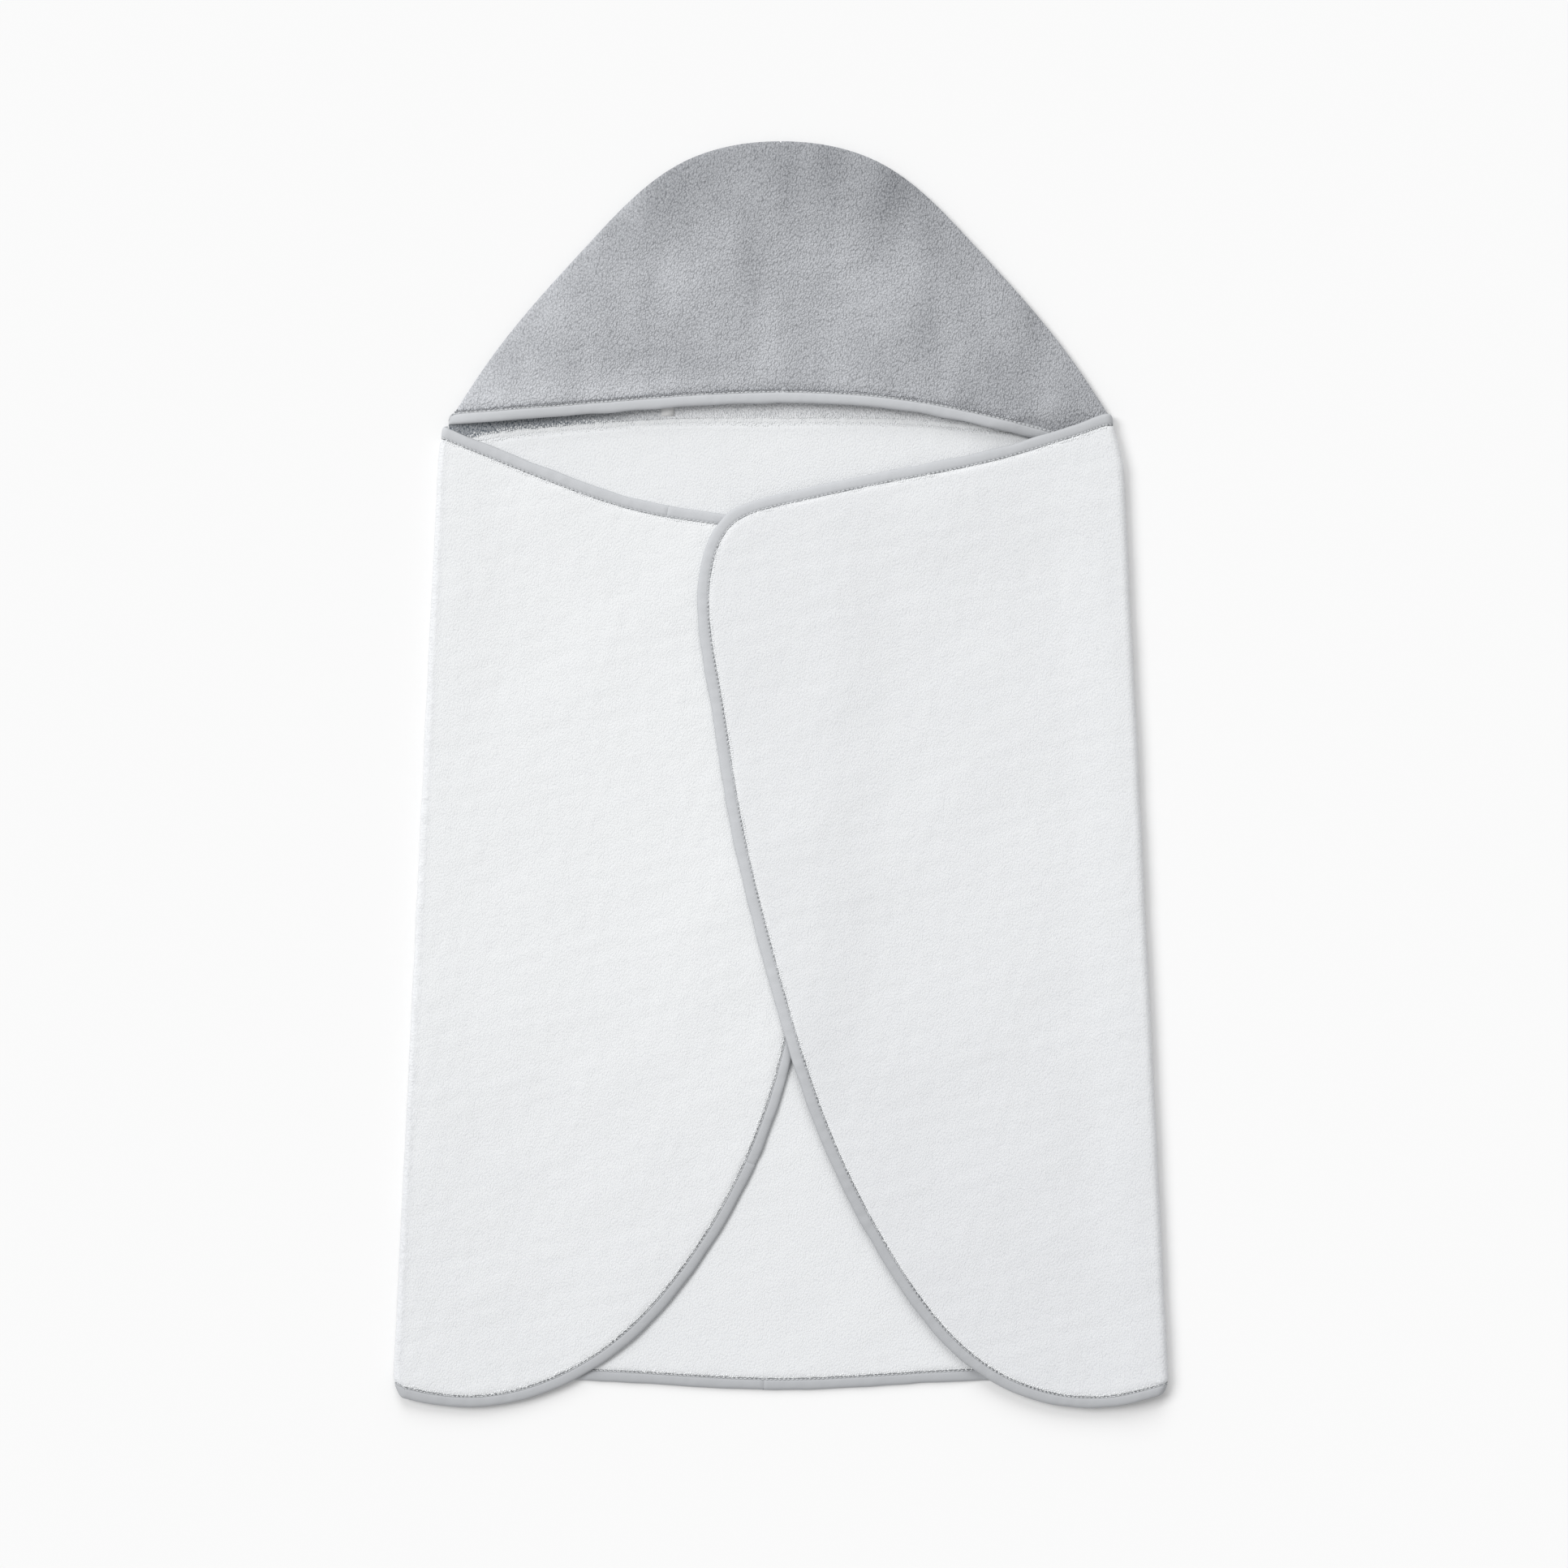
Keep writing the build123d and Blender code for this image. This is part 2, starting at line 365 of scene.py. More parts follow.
def hexagonal_grid(outline, spacing):
    """Points inside the outline on a grid of triangles, each a little off its place."""
    low, high = outline.min(axis=0), outline.max(axis=0)
    row = spacing * math.sqrt(3) / 2
    xs = np.arange(low[0], high[0], spacing)
    ys = np.arange(low[1], high[1], row)
    grid = np.array([(x + spacing / 2 * (i % 2), y) for i, y in enumerate(ys) for x in xs])
    grid += np.random.default_rng(7).uniform(-0.18, 0.18, grid.shape) * spacing
    return grid[inside(grid, outline)]


def terry_sheet(lay, outline, spacing, half, relief, rings=(), painted_shading=None, lines=()):
    """A closed sheet of terry cut to an outline that runs anticlockwise.
    half gives half the thickness at each point, and relief how far the pile stands out of it. rings are rows
    of points at these distances inside the outline, where the thickness changes fast. The function given
    after them gives how much darker each point is painted: painted shade and painted light, and on the hood
    its streaks as well. lines are straight rows of points that the mesh must have, along a fold."""
    outline = evenly(np.vstack([outline, outline[:1]]), spacing)[:-1]
    closed = np.vstack([outline[-1:], outline, outline[:1]])
    rows = []
    for ring in rings:
        row = outline + left_normals(closed)[1:-1] * ring
        rows.append(row[inside(row, outline) & (distance(row, closed) > 0.93 * ring)])
    for line in lines:
        row = evenly(np.array(line), spacing)
        rows.append(row[inside(row, outline) & (distance(row, closed) > 0.4 * spacing)])
    grid = hexagonal_grid(outline, spacing)
    to_edge = distance(grid, closed)
    clear = to_edge > 0.6 * spacing
    for ring in rings:
        clear &= abs(to_edge - ring) > 0.5 * spacing
    for line in lines:
        clear &= distance(grid, np.array(line)) > 0.5 * spacing
    grid = grid[clear]
    flat = np.vstack([outline, *rows, grid])
    ring_edges = [(i, (i + 1) % len(outline)) for i in range(len(outline))]
    corners = [Vector(point) for point in flat.tolist()]
    result = delaunay_2d_cdt(corners, ring_edges, [list(range(len(outline)))], 1, 1e-6)
    flat = np.array([list(p) for p in result[0]])
    triangles = [list(face) for face in result[2]]
    count = len(flat)
    thickness = half(flat)
    free = (thickness / (CLOTH / 2)) ** 2
    top = lay.place(flat, thickness + free * relief(flat, 1))
    bottom = lay.place(flat, -thickness - UNDERSIDE_PILE * free * relief(flat, 2))
    faces = triangles + [[count + c, count + b, count + a] for a, b, c in triangles]
    borders = set()
    for a, b, c in triangles:
        borders.update(((a, b), (b, c), (c, a)))
    for a, b in sorted(borders):
        if (b, a) not in borders:
            faces.append([b, a, count + a, count + b])
    # how much darker each point is painted: painted shade and painted light
    shade = np.zeros(count) if painted_shading is None else painted_shading(flat)
    return Shape(np.vstack([top, bottom]), faces, np.vstack([flat, flat]), np.concatenate([shade, shade]))


def pile(depth):
    """The uneven surface of terry: soft lumps, and the loops as a small random height at each point."""

    def relief(flat, seed):
        rng = np.random.default_rng(seed)
        loops = rng.uniform(-1, 1, len(flat)) * 0.08
        return depth * (loops + 0.07 * ripples(flat, 7, seed) + 0.13 * ripples(flat, 28, seed + 5))

    return relief


def pressed_by(edge, reach=1.4):
    """Half the thickness of terry that is held in tape along an edge, and full a reach beyond the tape."""

    def half(flat):
        full = CLOTH / 2 - PRESSED_HALF
        return PRESSED_HALF + full * smoothstep(distance(flat, edge), TAPE_WIDTH - 1.0, TAPE_WIDTH + reach)

    return half


def instances(lay, template, faces, bases, across, turn, sizes, lift):
    """Copies of a small shape laid on a sheet: at the bases, along the across directions turned by turn."""
    cos, sin = np.cos(turn)[:, None], np.sin(turn)[:, None]
    side = np.column_stack([-across[:, 1], across[:, 0]])
    first = side * cos + across * sin
    second = across * cos - side * sin
    local = template[None] * sizes[:, None, :]
    flat = bases[:, None] + local[..., :1] * first[:, None] + local[..., 1:2] * second[:, None]
    heights = lift[:, None] + local[..., 2]
    points = lay.place(flat.reshape(-1, 2), heights.ravel())
    corners = np.array(faces)[None] + (np.arange(len(bases)) * len(template))[:, None, None]
    return Shape(points, corners.reshape(-1, corners.shape[2]).tolist(), flat.reshape(-1, 2))


def ball():
    """A small rough ball of unit radius: its points and triangles."""
    rows = [(0, 0, 1.0)]
    for height, radius in ((0.45, 0.9), (-0.45, 0.9)):
        for step in range(5):
            turn = 2 * math.pi * (step + (0.5 if height < 0 else 0)) / 5
            rows.append((radius * math.cos(turn), radius * math.sin(turn), height))
    rows.append((0, 0, -1.0))
    faces = []
    for i in range(5):
        j = (i + 1) % 5
        faces += [[0, 1 + i, 1 + j], [1 + i, 6 + i, 1 + j], [1 + j, 6 + i, 6 + j], [11, 6 + j, 6 + i]]
    return np.array(rows), faces


def stitch_shape():
    """One stitch: a short thread with round ends, of unit length, width and height about its middle."""
    sides = 6
    points, faces = [(-0.5, 0, 0)], []
    for x, radius in ((-0.44, 0.32), (-0.3, 0.5), (0.0, 0.54), (0.3, 0.5), (0.44, 0.32)):
        for step in range(sides):
            turn = 2 * math.pi * step / sides
            points.append((x, radius * math.cos(turn), radius * math.sin(turn)))
    points.append((0.5, 0, 0))
    tip = len(points) - 1
    for i in range(sides):
        j = (i + 1) % sides
        faces += [[0, 1 + j, 1 + i], [tip - sides + i, tip - sides + j, tip]]
        for ring in range(4):
            a, b = 1 + ring * sides + i, 1 + ring * sides + j
            faces += [[a, b, b + sides], [a, b + sides, a + sides]]
    return np.array(points), faces


def tube_faces(rings, sides):
    """The faces of a tube through rings of points, closed at both ends."""
    faces = []
    for i in range(rings - 1):
        for j in range(sides):
            k = (j + 1) % sides
            faces.append([i * sides + j, i * sides + k, (i + 1) * sides + k, (i + 1) * sides + j])
    last = (rings - 1) * sides
    return [*faces, list(reversed(range(sides))), [last + j for j in range(sides)]]


# ---- Tape, stitches and tufts along an edge ----

END_ROUNDING = 3.0
HOLE_DENT = 0.45
BESIDE_HOLE = 0.55  # how much lighter than a needle hole the painted shade along the tape's inner edge is

# The tape across its width: from its inner edge on top, round the outer edge, to its inner edge below
TOP_OF_TAPE = [
    (TAPE_WIDTH, 0.6),
    (TAPE_WIDTH - 0.5, 0.85),
    (STITCH_LINE, 0.9),
    (STITCH_LINE - 0.8, 1.22),
    (5.2, 1.38),
    (3.8, 1.4),
    (2.4, 1.28),
    (1.2, 0.95),
    (0.4, 0.4),
]
BOTTOM_OF_TAPE = [(0.4, -0.9), (1.2, -1.25), (2.6, -1.5), (5.2, -1.5), (TAPE_WIDTH, -0.9)]
TAPE_SECTION = np.array(TOP_OF_TAPE + [(0.0, -0.4)] + BOTTOM_OF_TAPE)


def towards_hem(path):
    return smoothstep(-path[:, 1], 130, 290)


def darker(path):
    """The tape is painted a little darker towards the right-hand shoulder, and more so towards the hem, as
    shade where the light falls off and where the edges face away from it.
    """
    at_shoulder = 0.13 * smoothstep(path[:, 0], 60, 210) * smoothstep(path[:, 1], 100, 200)
    return at_shoulder + 0.22 * towards_hem(path)


def tape_shape(lay, edge, seed, taper=0.0, needle=0.85, join=0.7, runs_on=0):
    """A length of tape folded over an edge, with its needle holes as dark as needle, painted shade along its
    inner edge, and painted shade towards the right-hand shoulder and the hem. Its first end is a join, darker
    by join, and may narrow over a length taper. It runs on unbroken at its first end if runs_on is -1, or at
    its last end if it is 1."""
    path = evenly(edge, STITCH_PITCH / 3)
    normals = left_normals(path)
    along = lengths(path)
    place_1d = np.column_stack([along, np.zeros(len(along))])
    wobble = 0.22 * ripples(place_1d, 14, seed)
    plump = 1 + 0.07 * ripples(place_1d, 5, seed + 1) + 0.05 * ripples(place_1d, 24, seed + 2)
    to_first = along + PAST_ANY_END * (runs_on < 0)
    to_last = along[-1] - along + PAST_ANY_END * (runs_on > 0)
    to_end = np.minimum(to_first, to_last)
    rounding = np.sqrt(np.clip(1 - (1 - np.clip(to_end / END_ROUNDING, 0, 1)) ** 2, 0.25, 1))
    width = TAPE_SECTION[:, 0][None] * np.ones(len(path))[:, None]
    width = width + wobble[:, None] * (1 - width / TAPE_WIDTH)
    if taper:
        left = np.clip(1 - along / taper, 0, 1)
        width *= (0.35 + 0.65 * np.sqrt(1 - left**2))[:, None]
    lift = TAPE_SECTION[:, 1][None] * (plump * rounding)[:, None]
    shade = np.zeros_like(lift)
    holes = np.arange(len(path)) % 3 == 0
    lift[holes, 2] -= HOLE_DENT
    # The inner edge is painted with shade where the pile meets it, a little lighter than a needle hole, and
    # towards the hem with the painted shadow that the pile casts over the first rows.
    shade[:, :2] = needle - BESIDE_HOLE
    shade[:, :3] += 0.35 * towards_hem(path)[:, None]
    shade[holes, 1:3] = needle
    # painted shade towards the right-hand shoulder and the hem
    shade += darker(path)[:, None]
    shade[along < 0.7] += join
    flat = path[:, None] + normals[:, None] * width[..., None]
    points = lay.place(flat.reshape(-1, 2), lift.ravel())
    ring = len(TAPE_SECTION)
    ends = [*range(ring), *range(len(points) - ring, len(points))]
    pattern = np.column_stack([np.repeat(along, ring), width.ravel()])
    return Shape(points, tube_faces(len(path), ring), pattern, shade.ravel(), ends)


def stitches_along(lay, edge, seed):
    """The topstitching on the tape: one thread bump between each two needle holes."""
    path = evenly(edge, STITCH_PITCH / 3)
    middles = np.arange(3, len(path) - 5, 3) + 1.5
    count = np.arange(len(path))
    centre = np.column_stack([np.interp(middles, count, path[:, axis]) for axis in (0, 1)])
    normals = left_normals(path)
    across = np.column_stack([np.interp(middles, count, normals[:, axis]) for axis in (0, 1)])
    rng = np.random.default_rng(seed)
    template, faces = stitch_shape()
    sizes = np.tile([STITCH_LENGTH, 0.62, 0.62], (len(centre), 1)) * rng.uniform(0.92, 1.06, (len(centre), 1))
    turn = rng.normal(0, 0.05, len(centre))
    lift = np.full(len(centre), 1.08)
    return instances(lay, template, faces, centre + across * STITCH_LINE, across, turn, sizes, lift)


def tufts_along(lay, edge, seed, size=1.0, stray=0.4, within=None):
    """Two uneven rows of loops of pile that stand against the inner edge of the tape, kept to the inside of
    the outline within."""
    rng = np.random.default_rng(seed)
    template, faces = ball()
    shapes = []
    for inset, spacing in ((TAPE_WIDTH + 0.1, 1.2), (TAPE_WIDTH + 0.9, 1.5)):
        path = evenly(edge, spacing)[1:-1]
        if isinstance(lay, Front):
            path = path[lay.past_fold(path) < -1]
        across = left_normals(path)
        count = len(path)
        base = path + across * (inset + rng.uniform(-stray, stray, count))[:, None]
        sizes = np.column_stack([
            rng.uniform(0.5, 1.2, count), rng.uniform(0.4, 0.75, count), rng.uniform(0.35, 0.6, count)
        ])
        turn = rng.uniform(-1.5, 1.5, count)
        lift = np.full(count, 0.9 + 0.2 * (inset > TAPE_WIDTH + 0.5))
        kept = np.ones(count, bool) if within is None else inside(base, within)
        base, across, turn, lift = base[kept], across[kept], turn[kept], lift[kept]
        shapes.append(instances(lay, template, faces, base, across, turn, sizes[kept] * size, lift))
    return joined(shapes)


# ---- Materials ----


def srgb(level):
    """The linear value of an sRGB level of 0 to 255."""
    share = level / 255
    return share / 12.92 if share <= 0.04045 else ((share + 0.055) / 1.055) ** 2.4


def colour(red, green, blue):
    return (srgb(red), srgb(green), srgb(blue), 1.0)


class Nodes:
    """Short words for building a material's nodes."""

    def __init__(self, name, roughness, specular):
        self.material = bpy.data.materials.new(name)
        self.material.use_nodes = True
        self.tree = self.material.node_tree
        self.shader = self.tree.nodes["Principled BSDF"]
        self.shader.inputs["Roughness"].default_value = roughness
        self.shader.inputs["Specular IOR Level"].default_value = specular

    def add(self, kind, settings=(), values=(), links=()):
        node = self.tree.nodes.new(kind)
        for key, value in dict(settings).items():
            setattr(node, key, value)
        for key, value in dict(values).items():
            node.inputs[key].default_value = value
        for key, socket in dict(links).items():
            self.tree.links.new(socket, node.inputs[key])
        return node

    def math(self, operation, first, second):
        node = self.tree.nodes.new("ShaderNodeMath")
        node.operation = operation
        for index, term in enumerate((first, second)):
            if isinstance(term, (int, float)):
                node.inputs[index].default_value = term
            else:
                self.tree.links.new(term, node.inputs[index])
        return node.outputs[0]

    def flat_pattern(self):
        return self.add("ShaderNodeUVMap", {"uv_map": "flat"}).outputs["UV"]

    def link(self, output, socket):
        self.tree.links.new(output, self.shader.inputs[socket])


def terry_material(name, dark, light, depth, blotch, density=1.0):
    """Terry: short crooked loops, seen as a fine relief of the given depth, with painted shade in the gaps
    between them.
    blotch is how strong the soft patches are, and a higher density makes the loops smaller."""
    nodes = Nodes(name, 0.95, 0.12)
    uv = nodes.flat_pattern()
    bend = nodes.add("ShaderNodeTexNoise", values={"Scale": 520.0, "Detail": 1.0}, links={"Vector": uv})
    centred = nodes.add(
        "ShaderNodeVectorMath", {"operation": "SUBTRACT"}, {1: (0.5, 0.5, 0.5)}, {0: bend.outputs["Color"]}
    )
    push = nodes.add(
        "ShaderNodeVectorMath", {"operation": "SCALE"}, {"Scale": 0.0019}, {0: centred.outputs[0]}
    )
    crooked = nodes.add("ShaderNodeVectorMath", {"operation": "ADD"}, links={0: uv, 1: push.outputs[0]})
    stretched = nodes.add(
        "ShaderNodeMapping",
        values={"Scale": (1150.0 * density, 680.0 * density, 1.0), "Rotation": (0, 0, 0.2)},
        links={"Vector": crooked.outputs[0]},
    )
    loops = nodes.add(
        "ShaderNodeTexVoronoi", {"feature": "SMOOTH_F1", "voronoi_dimensions": "2D"},
        {"Scale": 1.0, "Smoothness": 0.35}, {"Vector": stretched.outputs[0]},
    )
    fuzz = nodes.add("ShaderNodeTexNoise", values={"Scale": 1500.0, "Detail": 2.0}, links={"Vector": uv})
    clumps = nodes.add("ShaderNodeTexNoise", values={"Scale": 150.0, "Detail": 2.0}, links={"Vector": uv})
    rounded = nodes.math("SUBTRACT", 1.0, loops.outputs["Distance"])
    height = nodes.math("ADD", rounded, nodes.math("MULTIPLY", fuzz.outputs[0], 0.45))
    height = nodes.math("ADD", height, nodes.math("MULTIPLY", clumps.outputs[0], 0.5))
    bump = nodes.add(
        "ShaderNodeBump", values={"Strength": 1.0, "Distance": depth}, links={"Height": height}
    )
    nodes.tree.links.new(bump.outputs[0], nodes.shader.inputs["Normal"])
    patches = nodes.add("ShaderNodeTexNoise", values={"Scale": 17.0, "Detail": 2.0}, links={"Vector": uv})
    # The colour is painted darker in the gaps between the loops, as shade, and varies in soft random patches.
    tone = nodes.math("ADD", rounded, nodes.math("MULTIPLY", patches.outputs[0], blotch))
    level = nodes.add(
        "ShaderNodeMapRange",
        values={"From Min": 0.15 + 0.5 * blotch, "From Max": 0.85 + 0.5 * blotch},
        links={"Value": tone},
    )
    # The shade attribute darkens the colour further: painted shade and painted light, and the grey outside of
    # the hood's back layer.
    shade_attribute = nodes.add("ShaderNodeAttribute", {"attribute_name": "shade"})
    factor = nodes.math("SUBTRACT", level.outputs[0], shade_attribute.outputs["Fac"])
    mix = nodes.add("ShaderNodeMix", {"data_type": "RGBA", "clamp_factor": False}, links={"Factor": factor})
    set_colours(mix, dark, light)
    nodes.link(mix.outputs["Result"], "Base Color")
    return nodes.material


def set_colours(node, dark, light):
    node.inputs[6].default_value = dark
    node.inputs[7].default_value = light


def tape_material(name, light, dark):
    """Cotton tape: a fine weave across and along it, dark needle holes and joins, and painted shade."""
    nodes = Nodes(name, 0.7, 0.25)
    uv = nodes.flat_pattern()
    weave = nodes.add(
        "ShaderNodeTexWave", {"bands_direction": "DIAGONAL"},
        {"Scale": 700.0, "Distortion": 1.5, "Detail": 1.0}, {"Vector": uv},
    )
    creases = nodes.add("ShaderNodeTexNoise", values={"Scale": 160.0, "Detail": 2.0}, links={"Vector": uv})
    height = nodes.math("ADD", nodes.math("MULTIPLY", weave.outputs["Fac"], 0.12), creases.outputs[0])
    bump = nodes.add(
        "ShaderNodeBump", values={"Strength": 0.7, "Distance": 0.0004}, links={"Height": height}
    )
    nodes.tree.links.new(bump.outputs[0], nodes.shader.inputs["Normal"])
    # The shade attribute darkens the tape: at needle holes and joins, and with painted shade.
    holes = nodes.add("ShaderNodeAttribute", {"attribute_name": "shade"})
    mix = nodes.add("ShaderNodeMix", {"data_type": "RGBA"}, links={"Factor": holes.outputs["Fac"]})
    set_colours(mix, light, dark)
    nodes.link(mix.outputs["Result"], "Base Color")
    return nodes.material


def plain_material(name, base, roughness, specular, grain):
    """Thread or satin: one colour, with a fine grain of its fibres."""
    nodes = Nodes(name, roughness, specular)
    nodes.shader.inputs["Base Color"].default_value = base
    uv = nodes.flat_pattern()
    noise = nodes.add("ShaderNodeTexNoise", values={"Scale": grain, "Detail": 2.0}, links={"Vector": uv})
    bump = nodes.add(
        "ShaderNodeBump", values={"Strength": 0.5, "Distance": 0.0002}, links={"Height": noise.outputs[0]}
    )
    nodes.tree.links.new(bump.outputs[0], nodes.shader.inputs["Normal"])
    return nodes.material


def make_materials():
    """Every material of the towel, by the name it is asked for."""
    makers = {
        "body_terry": (terry_material, colour(221.5, 223, 225), colour(230.5, 232, 233), 0.0002, 0.2),
        "hood_terry": (terry_material, colour(154, 156, 160), colour(191, 193, 197), 0.00075, 0.7, 0.85),
        "hood_inside": (terry_material, colour(202, 204, 207), colour(246, 247, 249), 0.0006, 0.2),
        "binding_tape": (tape_material, colour(190, 192, 195), colour(96, 98, 101)),
        "thread": (plain_material, colour(200, 202, 204), 0.6, 0.3, 2500.0),
        "label_satin": (plain_material, colour(232, 232, 232), 0.35, 0.5, 1800.0),
    }
    return {name: make(name, *values) for name, (make, *values) in makers.items()}


# ---- The towel ----


def left_edge_x(y):
    """How far right the hidden edge of the left front is at y."""
    edge = curve_through(LEFT_FRONT_EDGE, 4.0)
    edge = edge[(edge[:, 1] < 150) & (edge[:, 0] > -60)][::-1]
    return np.interp(y, edge[:, 1], edge[:, 0])


UNEVEN_LIE = 0.3  # how much the lie of a front waves up and down
LEFT_SINKS = 1.0
RIGHT_SINKS = 2.1
LEFT_CURVE_STARTS_Y = -241  # below this the left front draws away from under the right one


def right_sink(flat):
    """How far the right front sinks below the height of its fold: it is held up by the left front, by the
    corner of the hood, and a little by its own fold."""
    x, y = flat[:, 0], flat[:, 1]
    off_left = smoothstep(x - left_edge_x(y), -4, 45)
    past_curve = smoothstep(-y, -LEFT_CURVE_STARTS_Y, 280)
    off_left = np.where(y < LEFT_CURVE_STARTS_Y, np.maximum(off_left, past_curve), off_left)
    off_hood = 1 - smoothstep(y, 120, 190)
    return RIGHT_SINKS * off_left * off_hood + UNEVEN_LIE * ripples(flat, 60, 31)


def left_sink(flat):
    return LEFT_SINKS + UNEVEN_LIE * ripples(flat, 60, 32)


def dome_path():
    left = [(-x, y) for x, y in reversed(DOME_HALF[:-1])]
    return curve_through(DOME_HALF + left)


def neck_path(rise=0.0):
    half = [(x, NECK_Y + y + rise) for x, y in NECK_HALF]
    left = [(-x, y) for x, y in half]
    return curve_through(left + half[-2::-1])


def between(path, low_x, high_x):
    """The stretch of a path that runs along X, between two values of x."""
    order = np.argsort(path[:, 0])
    xs, ys = path[order, 0], path[order, 1]
    kept = path[(path[:, 0] > low_x) & (path[:, 0] < high_x)]
    ends = [(low_x, np.interp(low_x, xs, ys)), (high_x, np.interp(high_x, xs, ys))]
    if kept[0, 0] > kept[-1, 0]:
        ends.reverse()
    return np.vstack([ends[0], kept, ends[1]])


HOOD_SEAM_MIDDLE = 4.2  # height of the middle of the hood's front layer at the dome seam
HOOD_RISE = 6.0  # and how far it rises from there to the top of the pillow
MOUTH_DIP = 1.0  # how far the left part of the mouth lies lower
MOUTH_SWELL = 0.35  # how far the terry swells up beside the tape of the mouth
UNDER_FRONT_MIDDLE = 5.6  # height of the middle of the corner that lies under the right front
BESIDE_FRONT_SLOPE = 0.3  # how steeply the hood may rise away from that corner


class Towel:
    """The sheets of the towel and the edges that the tape follows."""

    def __init__(self):
        self.left = Front("left_front_fold", LEFT, left_sink, LEFT_SHOULDER_CORNER)
        self.right = Front("right_front_fold", RIGHT, right_sink, RIGHT_SHOULDER_CORNER)
        self.left_edge = self.left.bound_edge(LEFT_FRONT_EDGE, LEFT_SHOULDER_Y, FOLD_HEM_Y)
        self.right_edge = self.right.bound_edge(RIGHT_FRONT_EDGE, RIGHT_SHOULDER_Y, FOLD_HEM_Y)
        self.right_edge_plan = curve_through(RIGHT_FRONT_EDGE, 3.0)
        self.dome = dome_path()
        self.dome_coarse = evenly(self.dome, 4.0)
        self.mouth_coarse = curve_through(MOUTH, 4.0)
        self.back = Level(lambda flat: np.full(len(flat), CLOTH / 2))
        self.hood_back = Level(self.hood_back_middle)
        self.hood_front = Level(self.hood_front_middle)

    def hood_back_middle(self, flat):
        from_seam = distance(flat, self.dome_coarse)
        return CLOTH / 2 + 0.5 * np.exp(-from_seam / 5)

    def hood_front_middle(self, flat):
        """The front layer is sewn to the back layer round the dome, stands up like a thin pillow, and dips
        under the right front at its corner."""
        from_seam = distance(flat, self.dome_coarse)
        height = HOOD_SEAM_MIDDLE + HOOD_RISE * (1 - np.exp(-from_seam / 15))
        height += 0.55 * ripples(flat, 55, 41) * smoothstep(from_seam, 5, 40)
        from_mouth = distance(flat, self.mouth_coarse)
        height -= MOUTH_DIP * np.exp(-from_mouth / 20) * smoothstep(-flat[:, 0], 50, 140)
        height += MOUTH_SWELL * np.exp(-(((from_mouth - TAPE_WIDTH - 4) / 3.5) ** 2))
        off_front = distance(flat, self.right_edge_plan)
        under = inside(flat, np.vstack([self.right_edge_plan, [(400, -400), (400, 260)]]))
        limit = UNDER_FRONT_MIDDLE + BESIDE_FRONT_SLOPE * np.where(under, 0, off_front)
        return -np.logaddexp(-height * 2, -limit * 2) / 2


LIGHTER_ALL_OVER = 0.1  # how much lighter the body and the hood are made all over


def body_painted_shade(front=None):
    """Painted shade on the body: darker on the right front and towards the hem, where the light falls off,
    and darker round the left fold, against the light that falls on it. On the back panel it is also darker
    towards the neck."""
    on_right = 0.55 if front is not None and front.side == RIGHT else 0.0
    on_left_fold = 0.6 if front is not None and front.side == LEFT else 0.0
    at_neck = 0.3 if front is None else 0.0
    at_hem = 0.6

    def painted_shading(flat):
        y = flat[:, 1]
        # painted shade where the light falls off, on the right front and towards the hem; darker towards the
        # neck of the back
        painted_darkening = on_right + at_hem * smoothstep(-y, 30, 380) + at_neck * smoothstep(y, 60, 160)
        # painted shade round the left fold, where the light falls on it
        round_fold = 0.0 if front is None else smoothstep(front.past_fold(flat), -5, 1)
        return painted_darkening - LIGHTER_ALL_OVER + on_left_fold * round_fold

    return painted_shading


def hood_painted_light_and_tone(flat):
    """The hood is darker at the crown, painted darker towards the right as shade away from the light, and
    painted lighter at the left of the mouth, where the light falls. It lies in uneven streaks along Y."""
    x, y = flat[:, 0], flat[:, 1]
    crown = 0.65 * smoothstep(y, 335, 410)
    # painted shade towards the right, away from the light
    to_right = 0.36 * smoothstep(x, 20, 190)
    # painted light at the left of the mouth, where the light falls
    at_mouth = 0.6 * smoothstep(-x, 20, 120) * smoothstep(-y, -285, -245)
    streaks = 0.12 * ripples(flat * [1.0, 0.35], 16, 43)
    return crown + to_right - at_mouth - LIGHTER_ALL_OVER + streaks


def inner_painted_shadow(flat):
    """The strip inside the hood is painted dark towards the left, as the shadow deep in the pocket there."""
    return 1.45 * smoothstep(-flat[:, 0], 60, 150)


def front_shape(front, edge, seed):
    """The terry of a front with the tufts at its edge, and the outline of its pattern."""
    outline = edge + left_normals(edge) * TERRY_INSET
    half = pressed_by(evenly(edge, 4.0))
    lines = front.fold_lines()
    shape = terry_sheet(front, outline, 2.5, half, pile(1.0), BESIDE_TAPE, body_painted_shade(front), lines)
    return joined([shape, tufts_along(front, edge, seed)]), outline


def back_outline(towel):
    """The hem, and the outline of the back panel, which lies between the two folds up to the neck seam."""
    hem = curve_through(HEM)
    hem = hem[(towel.left.past_fold(hem) < 0) & (towel.right.past_fold(hem) < 0)]
    neck = neck_path(-NECK_SEAM_WIDTH / 2)[::-1]
    neck = neck[(towel.left.past_fold(neck) < 0) & (towel.right.past_fold(neck) < 0)]
    return hem, np.vstack([hem + left_normals(hem) * TERRY_INSET, neck])


CLEAR_OF_DOME = 0.3
SEAM_HALF = 0.25  # half the thickness of terry at a seam


